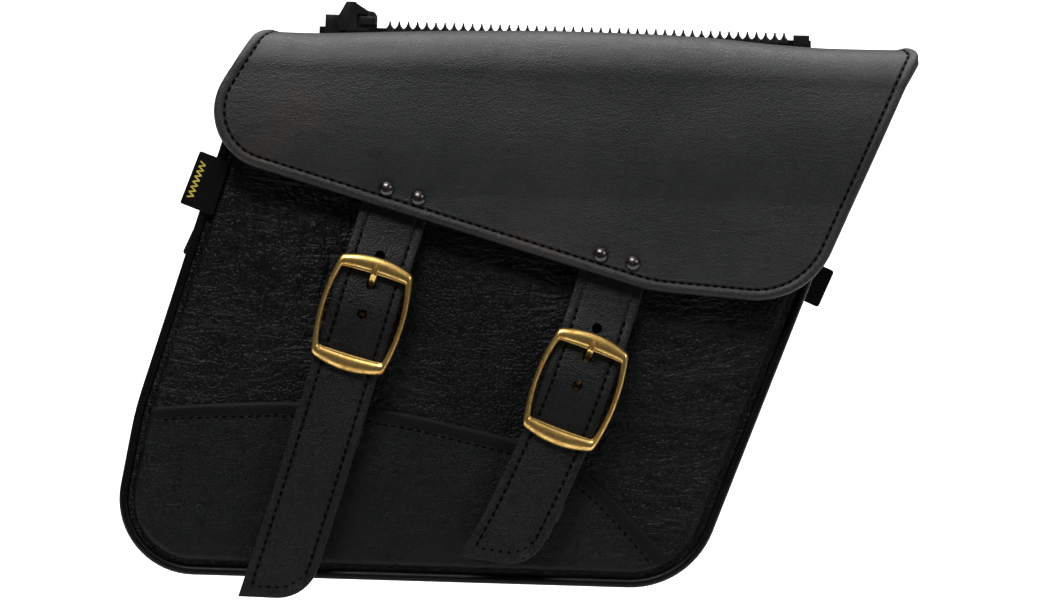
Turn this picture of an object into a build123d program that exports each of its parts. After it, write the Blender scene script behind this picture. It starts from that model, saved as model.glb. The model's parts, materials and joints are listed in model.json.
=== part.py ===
from build123d import *
import math
import os

# A slanted motorcycle saddlebag, in millimetres.
# +X is to the right seen from the front, +Y points out of the back face, +Z is up.
# The origin is the centre of the back panel's flat outer face. A "depth" is a distance
# forward of that face, so depth 140 is the plane Y = -140.

# Body: a slanted box of stiffened panels, open at the top
BODY_DEPTH = 140.0
RIM_Z = 124.0
LEFT_TOP = (-129.1, 124.0)
LEFT_BEND = (-180.5, -52.5)
LEFT_FOOT = (-193.0, -130.0)
RIGHT_FOOT = (85.5, -130.0)
RIGHT_TOP = (177.2, 124.0)
BEND_RADIUS = 150.0
LEFT_FOOT_RADIUS = 36.0
RIGHT_FOOT_RADIUS = 42.0
BEAD_RADIUS = 2.2
SKIN = 1.8
BOARD = 2.5
GUSSET_BOARD = 2.0
LINING = 0.8
GUSSET_INSET = 1.2
CHANNEL_INSET = 7.0
PANEL_PAD = 4.0
PANEL_BACK = BODY_DEPTH - 2.0
PANEL_FRONT = PANEL_BACK + PANEL_PAD
PANEL_ROUND = 2.5

# Lower front panel, with a raised folded strip along its top edge
SEAM = [(-190.0, -52.5), (-140.0, -48.0), (-90.0, -46.5), (-31.0, -54.2), (32.5, -75.1), (92.0, -134.0)]
OVERLAY = 1.0
FOLD_WIDTH = 5.5
FOLD_THICK = 1.8

# Lid: a flap that bends over the front, hinged near the top back edge
LID_TOP = 130.0
LID_FRONT = 153.3
LID_BEND = 20.0
LID_SKIN = 1.8
LID_BOARD = 1.5
LID_LINING = 1.0
HINGE_DEPTH = 16.0
HINGE_GAP = 0.3
LID_CORNERS = [(-121.7, 144.0), (-161.8, 72.8), (62.0, 10.0), (137.2, 5.2), (194.9, 144.0)]
LID_RADII = [29.0, 80.0, 40.0]
BINDING_INSET = 1.4
BINDING_WIDTH = 4.3
BINDING_PROUD = 0.9
BINDING_WALL = 1.0

# Straps. Positions along a strap are measured down it from the middle of its buckle.
STRAP_WIDTH = 31.75
STRAP_THICK = 3.2
STRAP_BACK = 151.2
HEAD_BACK = 145.6
HEAD_LENGTH = 26.0
FLEX_AT = -43.0
FLEX_GAP = 1.5
RAMP_END = -27.0
HOLE_RADIUS = 2.5
HOLE_PITCH = 14.3
STRAPS = {
    "left": dict(centre=(-73.5, -3.9), lean=15.3, curl=0.0001, tip=144.7, heel=136.0,
                 heel_radius=20.0, holes=-0.3, rivets=(-6.1, 9.5), rivet_at=-60.0, clip_shift=0.0),
    "right": dict(centre=(28.2, -36.4), lean=19.0, curl=0.0017, tip=96.0, heel=84.0,
                  heel_radius=19.0, holes=-2.0, rivets=(-7.9, 7.9), rivet_at=-64.5, clip_shift=0.8),
}

# Buckle with a centre bar behind the strap
BUCKLE_WIDTH = 41.0
BUCKLE_CORNER_WIDTH = 35.0
BUCKLE_HEIGHT = 55.0
BUCKLE_CORNER_HEIGHT = 48.5
OPENING_WIDTH = 36.0
OPENING_CORNER_WIDTH = 30.4
OPENING_HEIGHT = 38.8
BUCKLE_THICK = 2.8
BUCKLE_GAP = 0.9
BUCKLE_EDGE = 0.9
BUCKLE_CORNER_RADIUS = 2.2
OPENING_CORNER_RADIUS = 1.5
BAR_RADIUS = 1.4
BAR_BEHIND = 2.9
BAR_DEPTH = STRAP_BACK - BAR_BEHIND
BAR_LENGTH = 39.4
EAR_WIDTH = 2.0
EAR_HEIGHT = 4.4
EAR_AT = 19.2
TONGUE_WIDTH = 3.2
TONGUE_THICK = 1.6
TONGUE_TIP = 25.2
TONGUE_RISES_AT = 18.6
CHAPE_WIDTH = 25.0
CHAPE_THICK = 1.1
CHAPE_LENGTH = 22.7

# Quick-release clip hidden behind each strap, and the webbing it rides on.
# The first and last place of each piece are measured down the strap.
CLIP_WIDTH = 31.0
CLIP_FRONT = 150.8
CLIP_BACK = 143.9
CLIP_MIDDLE = 28.5
PLUG_WIDTH = 30.0
PLUG_BACK = 145.6
PLUG_FROM = 17.0
PLUG_TO = 26.0
PRONG_TO = 42.0
PRONG_BACK = 146.9
PRONG_FRONT = 149.3
PRONG_WIDTH = 3.4
PRONG_AT = 10.4
GUIDE_WIDTH = 3.0
BARB_FROM = 34.0
BARB_TO = 38.0
BARB_WIDTH = 1.6
BARB_AT = 12.0
SOCKET_FROM = 44.0
SOCKET_TO = 70.0
SOCKET_GRIP_WIDTH = 33.0
SOCKET_GRIP_FROM = 52.0
SOCKET_GRIP_TO = 61.0
MOUTH_WIDTH = 26.4
MOUTH_TO = 64.0
WEB_WIDTH = 25.0
WEB_THICK = 1.2
WEB_FROM = 22.0
WEB_TO = 79.0
WEB_SEWN_TOP = 4.0
WEB_SEWN_FOOT = 6.0

# Rivets through the lid and the strap heads
RIVET_HEAD_RADIUS = 3.6
RIVET_HEAD_HEIGHT = 2.0
RIVET_POST_RADIUS = 1.5
RIVET_HOLE_RADIUS = 1.6
BURR_RADIUS = 3.2
BURR_THICK = 0.8

# Woven label on the left edge, and a webbing tab at each side of the back
LABEL_CENTRE = (-149.7, 56.0)
LABEL_LEAN = -19.5
LABEL_WIDTH = 16.5
LABEL_LENGTH = 26.6
LABEL_THICK = 1.0
TAB_WIDTH = 34.0
TAB_HEIGHT = 20.0
TAB_THICK = 3.0
TABS = {"side_tab_left": (-149.9, 26.2, -23.1), "side_tab_right": (138.6, 21.4, -22.4)}

# Mounting zipper half that stands on the top back edge
ZIP_DEPTH = 6.4
TAPE_THICK = 0.9
TAPE_LEFT = -104.0
TAPE_RIGHT = 143.0
TAPE_TOP = 139.5
TEETH_TOP = 143.0
TOOTH_PITCH = 4.6
TOOTH_COUNT = 44
TOOTH_LENGTH = 2.4
TOOTH_WIDTH = 4.4
FIRST_TOOTH = -68.5
TOOTH_TIP = 1.4
TOOTH_SHOULDER = 140.7
BOX_X = (-101.0, -93.0)
BOX_Z = (135.0, 145.5)
BOX_HALF_DEPTH = 3.6
STOP_X = (134.0, 142.0)
STOP_Z = (136.5, 142.0)
STOP_HALF_DEPTH = 2.6
SLIDER_X = (-91.0, -75.0)
SLIDER_Z = (135.0, 147.5)
SLIDER_NEAR = 2.7
SLIDER_FAR = 4.6
BRIDGE_Z = (143.8, 146.8)
BAIL_HALF = 4.0
BAIL_Z = (140.5, 144.5)
BAIL_SLOT_HALF = 2.2
BAIL_SLOT_DEPTH = 2.4
BAIL_WALL = 1.0
PULL_PIN_X = -79.5
PULL_THICK = 1.6
PULL_ARMS = [(137.4, 139.2), (145.8, 147.6)]
PULL_REACH = 15.0
GRIP_START = 5.5
GRIP_TOP = 152.0

os.makedirs("parts", exist_ok=True)


def save(node, shape):
    """Write one named piece."""
    export_step(shape, f"parts/{node}.step")


def slab(face, near, far):
    """A face drawn in X and Z, made solid between two depths."""
    return extrude(Plane.XZ.offset(near) * face, far - near)


def meet(first, second):
    """Where two lines cross, each given as a point and a direction."""
    (px, pz), (dx, dz) = first
    (qx, qz), (ex, ez) = second
    step = ((qx - px) * ez - (qz - pz) * ex) / (dx * ez - dz * ex)
    return (px + dx * step, pz + dz * step)


def inset_line(start, end, inset):
    """The line from start to end, moved to its left side by the inset."""
    dx, dz = end[0] - start[0], end[1] - start[1]
    length = math.hypot(dx, dz)
    return (start[0] - dz / length * inset, start[1] + dx / length * inset), (dx, dz)


def body_path(inset, top):
    """The body's outline without its open top, inset evenly: down the left, along, up."""
    stops = [LEFT_TOP, LEFT_BEND, LEFT_FOOT, RIGHT_FOOT, RIGHT_TOP]
    sides = [inset_line(a, b, inset) for a, b in zip(stops, stops[1:])]
    level = ((0.0, top), (1.0, 0.0))
    points = [meet(level, sides[0])]
    points += [meet(a, b) for a, b in zip(sides, sides[1:])]
    points += [meet(sides[-1], level)]
    radii = [BEND_RADIUS, LEFT_FOOT_RADIUS - inset, RIGHT_FOOT_RADIUS - inset]
    return FilletPolyline(*points, radius=radii)


def body_face(inset, top=RIM_Z):
    """The body's outline as a face, inset evenly on its sides and floor."""
    path = body_path(inset, top)
    return make_face([path, Line(path @ 1, path @ 0)])


def body_ring(outer, inner):
    """The wall between two insets, open at the top."""
    return body_face(outer) - body_face(inner, RIM_Z + 50)


def bead(depth):
    """A round piping bead along the sides and floor at one depth."""
    path = Plane.XZ.offset(depth) * body_path(BEAD_RADIUS, RIM_Z - BEAD_RADIUS)
    section = Plane(origin=path @ 0, z_dir=path % 0) * Circle(BEAD_RADIUS)
    return sweep(section, path=path)


def seam_curve(shift):
    """The curved top edge of the lower panel, moved down by the shift."""
    return Spline(*[(x, z - shift) for x, z in SEAM])


def below_seam(shift, depth_below=200.0):
    """Everything between the shifted seam and a line far below it."""
    curve = seam_curve(shift)
    left, right = curve @ 0, curve @ 1
    base = Polyline(right, (right.X, -depth_below), (left.X, -depth_below), left)
    return make_face([curve, base])


def lid_outline(inset):
    """The lid's outline seen from the front, inset evenly."""
    sides = [inset_line(a, b, inset) for a, b in zip(LID_CORNERS, LID_CORNERS[1:])]
    level = ((0.0, LID_CORNERS[0][1]), (1.0, 0.0))
    points = [meet(level, sides[0])]
    points += [meet(a, b) for a, b in zip(sides, sides[1:])]
    points += [meet(sides[-1], level)]
    first, middle, last = LID_RADII
    path = FilletPolyline(*points, radius=[first - inset, middle - inset, last - inset])
    return make_face([path, Line(path @ 1, path @ 0)])


def lid_layer(outer, inner, face):
    """A layer of the bent lid between two depths under its outer surface."""
    low_z = -20.0
    back = HINGE_DEPTH + HINGE_GAP

    def edge(under):
        top, front, bend = LID_TOP - under, LID_FRONT - under, LID_BEND - under
        run = Line((back, top), (front - bend, top))
        turn = RadiusArc((front - bend, top), (front, top - bend), bend)
        return run, turn, Line((front, top - bend), (front, low_z))

    far, near = edge(outer), edge(inner)
    ends = [Line(far[0] @ 0, near[0] @ 0), Line(far[2] @ 1, near[2] @ 1)]
    section = make_face([*far, *near, *ends])
    side_plane = Plane(origin=(250, 0, 0), x_dir=(0, -1, 0), z_dir=(-1, 0, 0))
    return extrude(side_plane * section, 500) & slab(face, 0, BODY_DEPTH + 40)


def on_strap(strap, along, across):
    """A point of a strap's own flat frame, which may curl gently sideways."""
    curl = strap["curl"]
    turn = curl * along
    u = (math.cos(turn) - 1) / curl + across * math.cos(turn)
    v = -math.sin(turn) / curl - across * math.sin(turn)
    return (u, v)


def strap_plane(strap, extra_lean=0.0):
    """X across the strap, Y up along it and Z forward, from the buckle's middle."""
    lean = math.radians(strap["lean"] + extra_lean)
    x, z = strap["centre"]
    return Plane(origin=(x, 0, z), x_dir=(math.cos(lean), 0, -math.sin(lean)), z_dir=(0, -1, 0))


def clip_plane(strap):
    """The same frame turned and shifted a little, so that the clip follows the strap's curl."""
    plane = strap_plane(strap, math.degrees(strap["curl"]) * CLIP_MIDDLE)
    plane.origin += plane.x_dir * strap["clip_shift"]
    return plane


def block(u_size, v_low, v_high, d_low, d_high, u_mid=0.0):
    """A box in a strap frame."""
    size = (u_size, v_high - v_low, d_high - d_low)
    return Pos(u_mid, (v_low + v_high) / 2, (d_low + d_high) / 2) * Box(*size)


def strap_face(strap, start, tip, heel):
    """The flat outline of a strap between two places along it."""
    half = STRAP_WIDTH / 2
    left = ThreePointArc(*[on_strap(strap, s, -half) for s in (start, (start + tip) / 2, tip)])
    right = ThreePointArc(*[on_strap(strap, s, half) for s in (heel, (start + heel) / 2, start)])
    return make_face([left, Line(left @ 1, right @ 0), right, Line(right @ 1, left @ 0)])


def holes(strap, places, radius):
    """Round cutters through the full depth at places given as (along, across)."""
    return [Pos(*on_strap(strap, s, u), BODY_DEPTH) * Cylinder(radius, 80) for s, u in places]


def rivet_places(strap):
    return [(strap["rivet_at"], across) for across in strap["rivets"]]


def make_strap(strap):
    """The hanging part: a ramp out from under the lid, then flat behind the buckle."""
    face = strap_face(strap, FLEX_AT + FLEX_GAP, strap["tip"], strap["heel"])
    heel_point = Vector(*on_strap(strap, strap["heel"], STRAP_WIDTH / 2))
    heel = face.vertices().sort_by_distance(heel_point)[0]
    face = fillet(heel, strap["heel_radius"])
    top = -(FLEX_AT + FLEX_GAP)
    ramp = -RAMP_END
    stations = [(top + 2, HEAD_BACK), (top - 1, HEAD_BACK), (ramp, STRAP_BACK), (-170, STRAP_BACK)]
    front = [(v, d + STRAP_THICK) for v, d in reversed(stations)]
    section = make_face(Polyline(*stations, *front, close=True))
    side = extrude(Plane(origin=(-40, 0, 0), x_dir=(0, 1, 0), z_dir=(1, 0, 0)) * section, 80)
    solid = side & extrude(Pos(0, 0, BODY_DEPTH) * face, 40)
    for cutter in holes(strap, [(strap["holes"] - HOLE_PITCH * n, 0) for n in range(3)], HOLE_RADIUS):
        solid -= cutter
    return solid


def make_head(strap):
    """The strap's end under the lid, held by two rivets."""
    end = FLEX_AT - FLEX_GAP
    face = strap_face(strap, end - HEAD_LENGTH, end, end)
    solid = extrude(Pos(0, 0, HEAD_BACK) * face, STRAP_THICK)
    for cutter in holes(strap, rivet_places(strap), RIVET_HOLE_RADIUS):
        solid -= cutter
    return solid


def make_rivets(strap):
    """Domed caps outside the lid, with posts and burrs behind the strap head."""
    pieces = []
    post_length = LID_FRONT - HEAD_BACK
    for along, across in rivet_places(strap):
        centre = Pos(*on_strap(strap, along, across), 0)
        up = (Align.CENTER, Align.CENTER, Align.MIN)
        sphere_radius = (RIVET_HEAD_RADIUS ** 2 + RIVET_HEAD_HEIGHT ** 2) / (2 * RIVET_HEAD_HEIGHT)
        dome = Pos(0, 0, LID_FRONT + RIVET_HEAD_HEIGHT - sphere_radius) * Sphere(sphere_radius)
        dome &= Pos(0, 0, LID_FRONT) * Cylinder(20, 10, align=up)
        post = Pos(0, 0, HEAD_BACK) * Cylinder(RIVET_POST_RADIUS, post_length, align=up)
        burr = Pos(0, 0, HEAD_BACK - BURR_THICK) * Cylinder(BURR_RADIUS, BURR_THICK, align=up)
        pieces.append(centre * (dome + post + burr))
    return Compound(children=pieces)


def bowed_face(width, corner_width, height, corner_height):
    """A rectangle whose four sides bow outwards."""
    u, v = corner_width / 2, corner_height / 2
    sides = [
        ThreePointArc((-u, v), (0, height / 2), (u, v)),
        ThreePointArc((u, v), (width / 2, 0), (u, -v)),
        ThreePointArc((u, -v), (0, -height / 2), (-u, -v)),
        ThreePointArc((-u, -v), (-width / 2, 0), (-u, v)),
    ]
    return make_face(sides)


def make_buckle():
    """A cast frame that stands in front of the strap, and its bar behind the strap."""
    outer = bowed_face(BUCKLE_WIDTH, BUCKLE_CORNER_WIDTH, BUCKLE_HEIGHT, BUCKLE_CORNER_HEIGHT)
    outer = fillet(outer.vertices(), BUCKLE_CORNER_RADIUS)
    inner = bowed_face(OPENING_WIDTH, OPENING_CORNER_WIDTH, OPENING_HEIGHT + 0.8, OPENING_HEIGHT)
    inner = fillet(inner.vertices(), OPENING_CORNER_RADIUS)
    plate_back = STRAP_BACK + STRAP_THICK + BUCKLE_GAP
    plate = extrude(Pos(0, 0, plate_back) * (outer - inner), BUCKLE_THICK)
    front = plate.edges().group_by(Axis.Z)[-1]
    plate = fillet(front, BUCKLE_EDGE)
    bar = Pos(0, 0, BAR_DEPTH) * Rot(0, 90, 0) * Cylinder(BAR_RADIUS, BAR_LENGTH)
    frame = plate + bar
    half = EAR_HEIGHT / 2
    for side in (-1, 1):
        frame += block(EAR_WIDTH, -half, half, BAR_DEPTH - BAR_RADIUS, plate_back + 0.2, side * EAR_AT)
    return frame


def make_tongue(strap):
    """A ring on the bar and a shank that comes through the strap to the top of the frame."""
    hole_at = -strap["holes"] + HOLE_PITCH
    through = HOLE_RADIUS / 2
    strap_front = STRAP_BACK + STRAP_THICK
    over_strap = strap_front + 0.4 + TONGUE_THICK / 2
    over_frame = strap_front + BUCKLE_GAP + BUCKLE_THICK + 0.25 + TONGUE_THICK / 2
    spine = [
        (2.0, BAR_DEPTH),
        (hole_at - through, BAR_DEPTH + 0.3),
        (hole_at + through, over_strap),
        (TONGUE_RISES_AT, over_frame),
        (TONGUE_TIP, over_frame),
    ]
    line = FilletPolyline(*spine, radius=1.0)
    section = trace(line, TONGUE_THICK)
    half = TONGUE_WIDTH / 2
    side_plane = Plane(origin=(-half, 0, 0), x_dir=(0, 1, 0), z_dir=(1, 0, 0))
    shank = extrude(side_plane * section, TONGUE_WIDTH)
    ring = Pos(0, 0, BAR_DEPTH) * Rot(0, 90, 0) * Cylinder(BAR_RADIUS + 1.1, TONGUE_WIDTH)
    pin_hole = Pos(0, 0, BAR_DEPTH) * Rot(0, 90, 0) * Cylinder(BAR_RADIUS + 0.1, TONGUE_WIDTH + 2)
    return (shank + ring) - pin_hole


def make_chape(strap):
    """A short leather loop round the bar, with a tail that ends inside the clip's plug."""
    inner_radius = BAR_RADIUS + 0.1
    along_bar = Pos(0, 0, BAR_DEPTH) * Rot(0, 90, 0)
    tail = block(CHAPE_WIDTH, -CHAPE_LENGTH, -1.0, BAR_DEPTH - CHAPE_THICK, BAR_DEPTH + CHAPE_THICK)
    turn = strap_plane(strap).location.inverse() * clip_plane(strap).location
    loop = along_bar * Cylinder(inner_radius + CHAPE_THICK, CHAPE_WIDTH) + turn * tail
    loop -= along_bar * Cylinder(inner_radius, CHAPE_WIDTH + 8)
    return loop - block(TONGUE_WIDTH + 1.8, -4.8, 6, BAR_DEPTH - 6, BAR_DEPTH + 6)


def make_plug():
    """The clip's plug: a base with a pocket for the chape, two side prongs and a guide."""
    base = block(PLUG_WIDTH, -PLUG_TO, -PLUG_FROM, PLUG_BACK, CLIP_FRONT)
    pocket_half = CHAPE_THICK + 0.1
    pocket = block(CHAPE_WIDTH + 0.4, -CHAPE_LENGTH - 0.3, -PLUG_FROM + 1,
                   BAR_DEPTH - pocket_half, BAR_DEPTH + pocket_half)
    plug = base - pocket
    plug = plug + block(GUIDE_WIDTH, -PRONG_TO, 1 - PLUG_TO, PRONG_BACK, PRONG_FRONT)
    for side in (-1, 1):
        plug = plug + block(PRONG_WIDTH, -PRONG_TO, 1 - PLUG_TO, PRONG_BACK, PRONG_FRONT, side * PRONG_AT)
        plug = plug + block(BARB_WIDTH, -BARB_TO, -BARB_FROM, PRONG_BACK, PRONG_FRONT, side * BARB_AT)
    return plug


def make_socket():
    """The clip's socket: it straddles the webbing and takes the prongs in its mouth."""
    shell = block(CLIP_WIDTH, -SOCKET_TO, -SOCKET_FROM, CLIP_BACK, CLIP_FRONT)
    grip_back, grip_front = CLIP_BACK + 1.5, CLIP_FRONT - 1.0
    shell = shell + block(SOCKET_GRIP_WIDTH, -SOCKET_GRIP_TO, -SOCKET_GRIP_FROM, grip_back, grip_front)
    mouth = block(MOUTH_WIDTH, -MOUTH_TO, 1 - SOCKET_FROM, PRONG_BACK - 0.4, PRONG_FRONT + 0.4)
    channel = block(WEB_WIDTH + 0.8, -SOCKET_TO - 1, 1 - SOCKET_FROM, CLIP_BACK - 1, CLIP_BACK + 1.5)
    return shell - mouth - channel


def make_webbing():
    """A webbing tab behind the socket, thickened where each end is sewn to the front."""
    web = block(WEB_WIDTH, -WEB_TO, -WEB_FROM, CLIP_BACK, CLIP_BACK + WEB_THICK)
    upper = block(WEB_WIDTH, -WEB_FROM - WEB_SEWN_TOP, -WEB_FROM, PANEL_FRONT, CLIP_BACK + WEB_THICK)
    lower = block(WEB_WIDTH, -WEB_TO, WEB_SEWN_FOOT - WEB_TO, PANEL_FRONT + OVERLAY, CLIP_BACK + WEB_THICK)
    return web + upper + lower


def make_panels():
    """The stiffened walls of the body."""
    inner = GUSSET_INSET + SKIN
    bead_size = 2 * BEAD_RADIUS
    face_inset = bead_size + 0.2
    front_board_back = BODY_DEPTH - bead_size - 0.1
    save("back_panel", slab(body_face(face_inset), 0, SKIN))
    save("back_board", slab(body_face(face_inset), SKIN, SKIN + BOARD))
    save("gusset", slab(body_ring(GUSSET_INSET, inner), bead_size + 0.2, front_board_back))
    gusset_board = body_ring(inner, inner + GUSSET_BOARD)
    save("gusset_board", slab(gusset_board, bead_size + 0.2, front_board_back))
    save("front_board", slab(body_face(face_inset), front_board_back, PANEL_BACK))
    lining_outer = inner + GUSSET_BOARD
    lining = slab(body_face(lining_outer, RIM_Z - 0.5), SKIN + BOARD, front_board_back)
    cavity = body_face(lining_outer + LINING, RIM_Z + 50)
    lining -= slab(cavity, SKIN + BOARD + LINING, front_board_back - LINING)
    save("body_lining", lining)
    pad = slab(body_face(CHANNEL_INSET, RIM_Z - 3), PANEL_BACK, PANEL_FRONT)
    rim = pad.faces().sort_by(Axis.Y)[0].edges()
    save("front_panel", fillet(rim, PANEL_ROUND))
    save("front_piping", bead(BODY_DEPTH - BEAD_RADIUS))
    save("back_piping", bead(BEAD_RADIUS))


def make_lower_panel():
    """The smooth overlay on the lower front, and the folded strip along its seam."""
    area = body_face(CHANNEL_INSET + PANEL_ROUND + 0.5)
    panel = area & below_seam(FOLD_WIDTH)
    strip = area & (below_seam(0) - below_seam(FOLD_WIDTH))
    save("lower_panel", slab(panel, PANEL_FRONT, PANEL_FRONT + OVERLAY))
    save("lower_panel_fold", slab(strip, PANEL_FRONT, PANEL_FRONT + FOLD_THICK))


def make_lid():
    """The lid's skin, stiffener, lining and edge binding."""
    wall_inset = BINDING_INSET + BINDING_WALL
    board_at = LID_SKIN
    lining_at = LID_SKIN + LID_BOARD
    inside = lining_at + LID_LINING
    cutters = []
    for strap in STRAPS.values():
        plane = strap_plane(strap)
        cutters += [plane.location * hole for hole in holes(strap, rivet_places(strap), RIVET_HOLE_RADIUS)]
    layers = {
        "lid_skin": lid_layer(0, board_at, lid_outline(wall_inset)),
        "lid_board": lid_layer(board_at, lining_at, lid_outline(wall_inset)),
        "lid_lining": lid_layer(lining_at, inside, lid_outline(0)),
    }
    for node, layer in layers.items():
        for cutter in cutters:
            layer -= cutter
        save(node, layer)
    band = lid_outline(BINDING_INSET) - lid_outline(BINDING_INSET + BINDING_WIDTH)
    wall = lid_outline(BINDING_INSET) - lid_outline(wall_inset)
    binding = lid_layer(-BINDING_PROUD, 0, band) + lid_layer(-BINDING_PROUD, lining_at, wall)
    save("lid_binding", binding)


def make_trim():
    """The strip the lid hinges on, the woven label and the two side tabs."""
    strip_height = LID_TOP - RIM_Z - 0.5
    strip = lid_outline(0) & Pos(0, RIM_Z + strip_height / 2) * Rectangle(600, strip_height)
    save("hinge_strip", slab(strip, 0.4, HINGE_DEPTH - HINGE_GAP))
    label = Pos(*LABEL_CENTRE) * Rot(0, 0, LABEL_LEAN) * RectangleRounded(LABEL_WIDTH, LABEL_LENGTH, 1.0)
    label -= body_face(CHANNEL_INSET - 0.2)
    root = label & body_face(2 * BEAD_RADIUS + 0.3)
    label_back = BODY_DEPTH + 0.3
    label_solid = slab(label, label_back, label_back + LABEL_THICK)
    save("label_tag", label_solid + slab(root, PANEL_BACK, label_back + 0.1))
    outside = Rectangle(800, 800) - body_face(GUSSET_INSET, RIM_Z + 50)
    tab_back = 2 * BEAD_RADIUS + 0.3
    for node, (x, z, lean) in TABS.items():
        tab = Pos(x, z) * Rot(0, 0, lean) * RectangleRounded(TAB_WIDTH, TAB_HEIGHT, 1.5)
        side = 1 if x > 0 else -1
        outer_half = Pos(side * 400, 0) * Rectangle(800, 800)
        save(node, slab(tab & outside & outer_half, tab_back, tab_back + TAB_THICK))


def make_zipper():
    """Half of a separating zipper: tape, teeth, box, end stop, slider and pull."""
    foot = LID_TOP - 0.5
    near, far = ZIP_DEPTH - TAPE_THICK / 2, ZIP_DEPTH + TAPE_THICK / 2

    def upright(left, right, low, high):
        return Pos((left + right) / 2, (low + high) / 2) * Rectangle(right - left, high - low)

    tape = slab(upright(TAPE_LEFT, TAPE_RIGHT, foot, TAPE_TOP), near, far)
    tape += slab(upright(TAPE_LEFT, TAPE_RIGHT, foot, foot + TAPE_THICK), 0.8, far)
    save("zipper_tape", tape)

    teeth = []
    half = TOOTH_WIDTH / 2
    for n in range(TOOTH_COUNT):
        x = FIRST_TOOTH + n * TOOTH_PITCH
        root = upright(x - TOOTH_LENGTH / 2, x + TOOTH_LENGTH / 2, TAPE_TOP - 2.5, TOOTH_SHOULDER)
        tip = upright(x - TOOTH_TIP / 2, x + TOOTH_TIP / 2, TOOTH_SHOULDER, TEETH_TOP)
        tooth = slab(root + tip, ZIP_DEPTH - half, ZIP_DEPTH + half)
        teeth.append(tooth - tape)
    save("zipper_teeth", Compound(children=teeth))

    box = slab(upright(*BOX_X, *BOX_Z), ZIP_DEPTH - BOX_HALF_DEPTH, ZIP_DEPTH + BOX_HALF_DEPTH)
    save("zipper_box", box - tape)
    stop = slab(upright(*STOP_X, *STOP_Z), ZIP_DEPTH - STOP_HALF_DEPTH, ZIP_DEPTH + STOP_HALF_DEPTH)
    save("zipper_end_stop", stop - tape)

    plate = upright(*SLIDER_X, *SLIDER_Z)
    plate = fillet(plate.vertices(), 3.0)
    slider = slab(plate, ZIP_DEPTH - SLIDER_FAR, ZIP_DEPTH - SLIDER_NEAR)
    slider += slab(plate, ZIP_DEPTH + SLIDER_NEAR, ZIP_DEPTH + SLIDER_FAR)
    bridge = upright(SLIDER_X[0] + 4, SLIDER_X[1] - 4, *BRIDGE_Z)
    slider += slab(bridge, ZIP_DEPTH - SLIDER_NEAR - 0.3, ZIP_DEPTH + SLIDER_NEAR + 0.3)
    slot_back = ZIP_DEPTH + SLIDER_FAR
    slot_front = slot_back + BAIL_SLOT_DEPTH
    bail = slab(upright(PULL_PIN_X - BAIL_HALF, PULL_PIN_X + BAIL_HALF, *BAIL_Z),
                slot_back - 0.2, slot_front + BAIL_WALL)
    slot_x = (PULL_PIN_X - BAIL_SLOT_HALF, PULL_PIN_X + BAIL_SLOT_HALF)
    bail -= slab(upright(*slot_x, BAIL_Z[0] - 1, BAIL_Z[1] + 1), slot_back, slot_front)
    save("zip_slider", slider + bail)

    pin_depth = (slot_back + slot_front) / 2
    pull_back, pull_front = pin_depth - PULL_THICK / 2, pin_depth + PULL_THICK / 2
    pin_foot, pin_top = PULL_ARMS[0][0], PULL_ARMS[-1][1]
    pin_place = Pos(PULL_PIN_X, -pin_depth, (pin_foot + pin_top) / 2)
    pin = pin_place * Cylinder(PULL_THICK / 2, pin_top - pin_foot)
    far, near = PULL_PIN_X - PULL_REACH, PULL_PIN_X - GRIP_START
    grip = make_face(Polyline((far, pin_foot), (near, pin_foot), (near, GRIP_TOP),
                              (far + 4, GRIP_TOP), (far, BAIL_Z[1]), close=True))
    outline = fillet(grip.vertices(), 1.6)
    for arm in PULL_ARMS:
        outline += upright(far + 2, PULL_PIN_X, *arm)
    arm_foot, arm_top = PULL_ARMS[-1]
    shoulder = Polyline((near - 2, arm_foot), (PULL_PIN_X, arm_foot), (PULL_PIN_X, arm_top),
                        (near, GRIP_TOP - 1.0), (near - 2, GRIP_TOP - 1.0), close=True)
    outline += make_face(shoulder)
    save("zip_pull", slab(outline, pull_back, pull_front) + pin)


make_panels()
make_lower_panel()
make_lid()
make_trim()
make_zipper()
for name, strap in STRAPS.items():
    place = strap_plane(strap).location
    clip_place = clip_plane(strap).location
    save(f"strap_{name}", place * make_strap(strap))
    save(f"strap_head_{name}", place * make_head(strap))
    save(f"strap_rivets_{name}", place * make_rivets(strap))
    save(f"buckle_frame_{name}", place * make_buckle())
    save(f"buckle_tongue_{name}", place * make_tongue(strap))
    save(f"chape_{name}", place * make_chape(strap))
    save(f"clip_plug_{name}", clip_place * make_plug())
    save(f"clip_socket_{name}", clip_place * make_socket())
    save(f"clip_webbing_{name}", clip_place * make_webbing())
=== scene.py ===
import json
import math

import bmesh
import bpy
import numpy as np
from mathutils import Matrix, Vector, noise

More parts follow.
